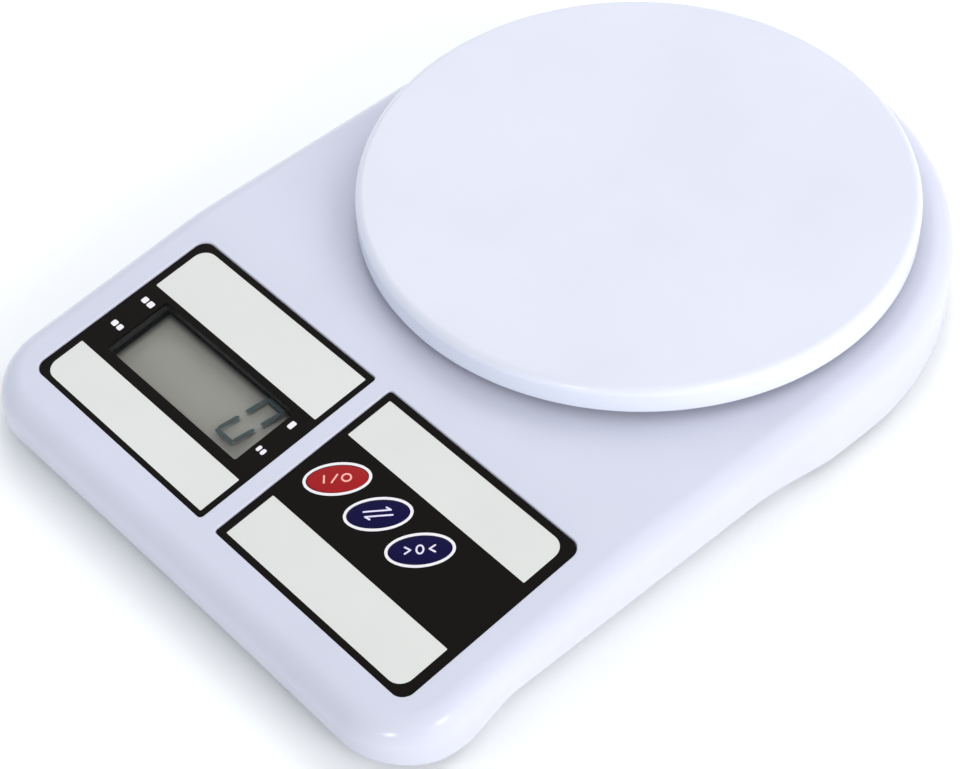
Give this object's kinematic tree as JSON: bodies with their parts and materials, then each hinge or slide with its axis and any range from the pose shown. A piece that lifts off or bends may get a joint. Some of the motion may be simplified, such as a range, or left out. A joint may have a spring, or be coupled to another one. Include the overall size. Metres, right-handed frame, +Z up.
{
  "type": "digital gram scale",
  "caption": "Flat battery-powered digital gram scale: a white housing with a sloping display and key deck at the front and a round lift-off weighing platform at the back.",
  "frame": {"origin": "on the table, under the middle of the housing", "axes": "+Z up, +Y from the control deck at the front to the round platform at the back, +X to the user's right"},
  "size_m": [0.169, 0.245, 0.035],
  "materials": {
    "housing_white": "moulded white, slightly glossy",
    "base_white": "moulded white, fine spark texture",
    "platform_white": "moulded white, glossy",
    "support_white": "moulded white",
    "screw_steel": "zinc plated",
    "bracket_steel": "zinc plated",
    "spacer_aluminium": "plain",
    "cell_aluminium": "machined",
    "gauge_cover": "cured sealant over foil",
    "overlay_black": "printed film",
    "window_clear": "clear acrylic",
    "frame_dark": "moulded dark grey",
    "lcd_grey": "reflective display",
    "reflector_grey": "backing film",
    "zebra_grey": "conductive elastomer",
    "pcb_green": "solder mask",
    "chip_black": "cured resin",
    "component_tan": "ceramic",
    "switch_metal": "stamped cover",
    "key_red": "moulded",
    "key_blue": "moulded",
    "plunger_black": "moulded",
    "cell_jacket": "plain jacket",
    "contact_nickel": "nickel plated",
    "cable_grey": "insulated",
    "lead_red": "insulated",
    "lead_black": "insulated",
    "foot_rubber": "moulded",
    "label_silver": "blank"
  },
  "bodies": {
    "housing": {"top_housing": "housing_white", "bottom_housing": "base_white", "load_cell": "cell_aluminium", "strain_gauges": "gauge_cover", "load_cell_spacer": "spacer_aluminium", "load_cell_screws": "screw_steel", "display_overlay": "overlay_black", "keypad_overlay": "overlay_black", "display_window": "window_clear", "lcd_frame": "frame_dark", "lcd_glass": "lcd_grey", "lcd_reflector": "reflector_grey", "zebra_strip": "zebra_grey", "main_pcb": "pcb_green", "controller_chip": "chip_black", "board_components": "component_tan", "tact_switches": "switch_metal", "pcb_screws": "screw_steel", "battery_cells": "cell_jacket", "negative_contact": "contact_nickel", "positive_contact": "contact_nickel", "bridge_contact": "contact_nickel", "load_cell_cable": "cable_grey", "positive_lead": "lead_red", "negative_lead": "lead_black", "rubber_feet": "foot_rubber", "housing_screws": "screw_steel", "rating_label": "label_silver"},
    "load_frame": {"platform_bracket": "bracket_steel", "bracket_spacer": "spacer_aluminium", "bracket_screws": "screw_steel", "platform_support": "support_white", "support_screws": "screw_steel"},
    "platform": {"weighing_platform": "platform_white"},
    "power_key": {"power_button": "key_red", "power_switch_plunger": "plunger_black"},
    "mode_key": {"mode_button": "key_blue", "mode_switch_plunger": "plunger_black"},
    "tare_key": {"tare_button": "key_blue", "tare_switch_plunger": "plunger_black"},
    "battery_cover": {"battery_door": "base_white"},
    "door_latch": {"battery_door_latch": "base_white"}
  },
  "joints": [
    {"name": "platform_load", "type": "slide", "parent": "housing", "child": "load_frame", "axis": [0, 0, -1], "range_m": [0, 0.0005], "stiffness_N_per_m": 20000, "deforming": ["load_cell"]},
    {"name": "platform_lift", "type": "slide", "parent": "load_frame", "child": "platform", "axis": [0, 0, 1], "range_m": [0, 0.04]},
    {"name": "power_key_press", "type": "slide", "parent": "housing", "child": "power_key", "axis": [0, 0.1191, -0.9929], "range_m": [0, 0.00035], "stiffness_N_per_m": 100, "springref_m": -0.003},
    {"name": "mode_key_press", "type": "slide", "parent": "housing", "child": "mode_key", "axis": [0, 0.1191, -0.9929], "range_m": [0, 0.00035], "stiffness_N_per_m": 100, "springref_m": -0.003},
    {"name": "tare_key_press", "type": "slide", "parent": "housing", "child": "tare_key", "axis": [0, 0.1191, -0.9929], "range_m": [0, 0.00035], "stiffness_N_per_m": 100, "springref_m": -0.003},
    {"name": "battery_door_swing", "type": "hinge", "parent": "housing", "child": "battery_cover", "pos_m": [0, -0.0122, 0.0042], "axis": [1, 0, 0], "range_deg": [0, 85]},
    {"name": "battery_latch_flex", "type": "hinge", "parent": "battery_cover", "child": "door_latch", "pos_m": [0, -0.0442, 0.0086], "axis": [1, 0, 0], "range_deg": [0, 12], "stiffness_Nm_per_rad": 0.0005, "springref_deg": -5.73, "deforming": ["battery_door_latch"]}
  ]
}
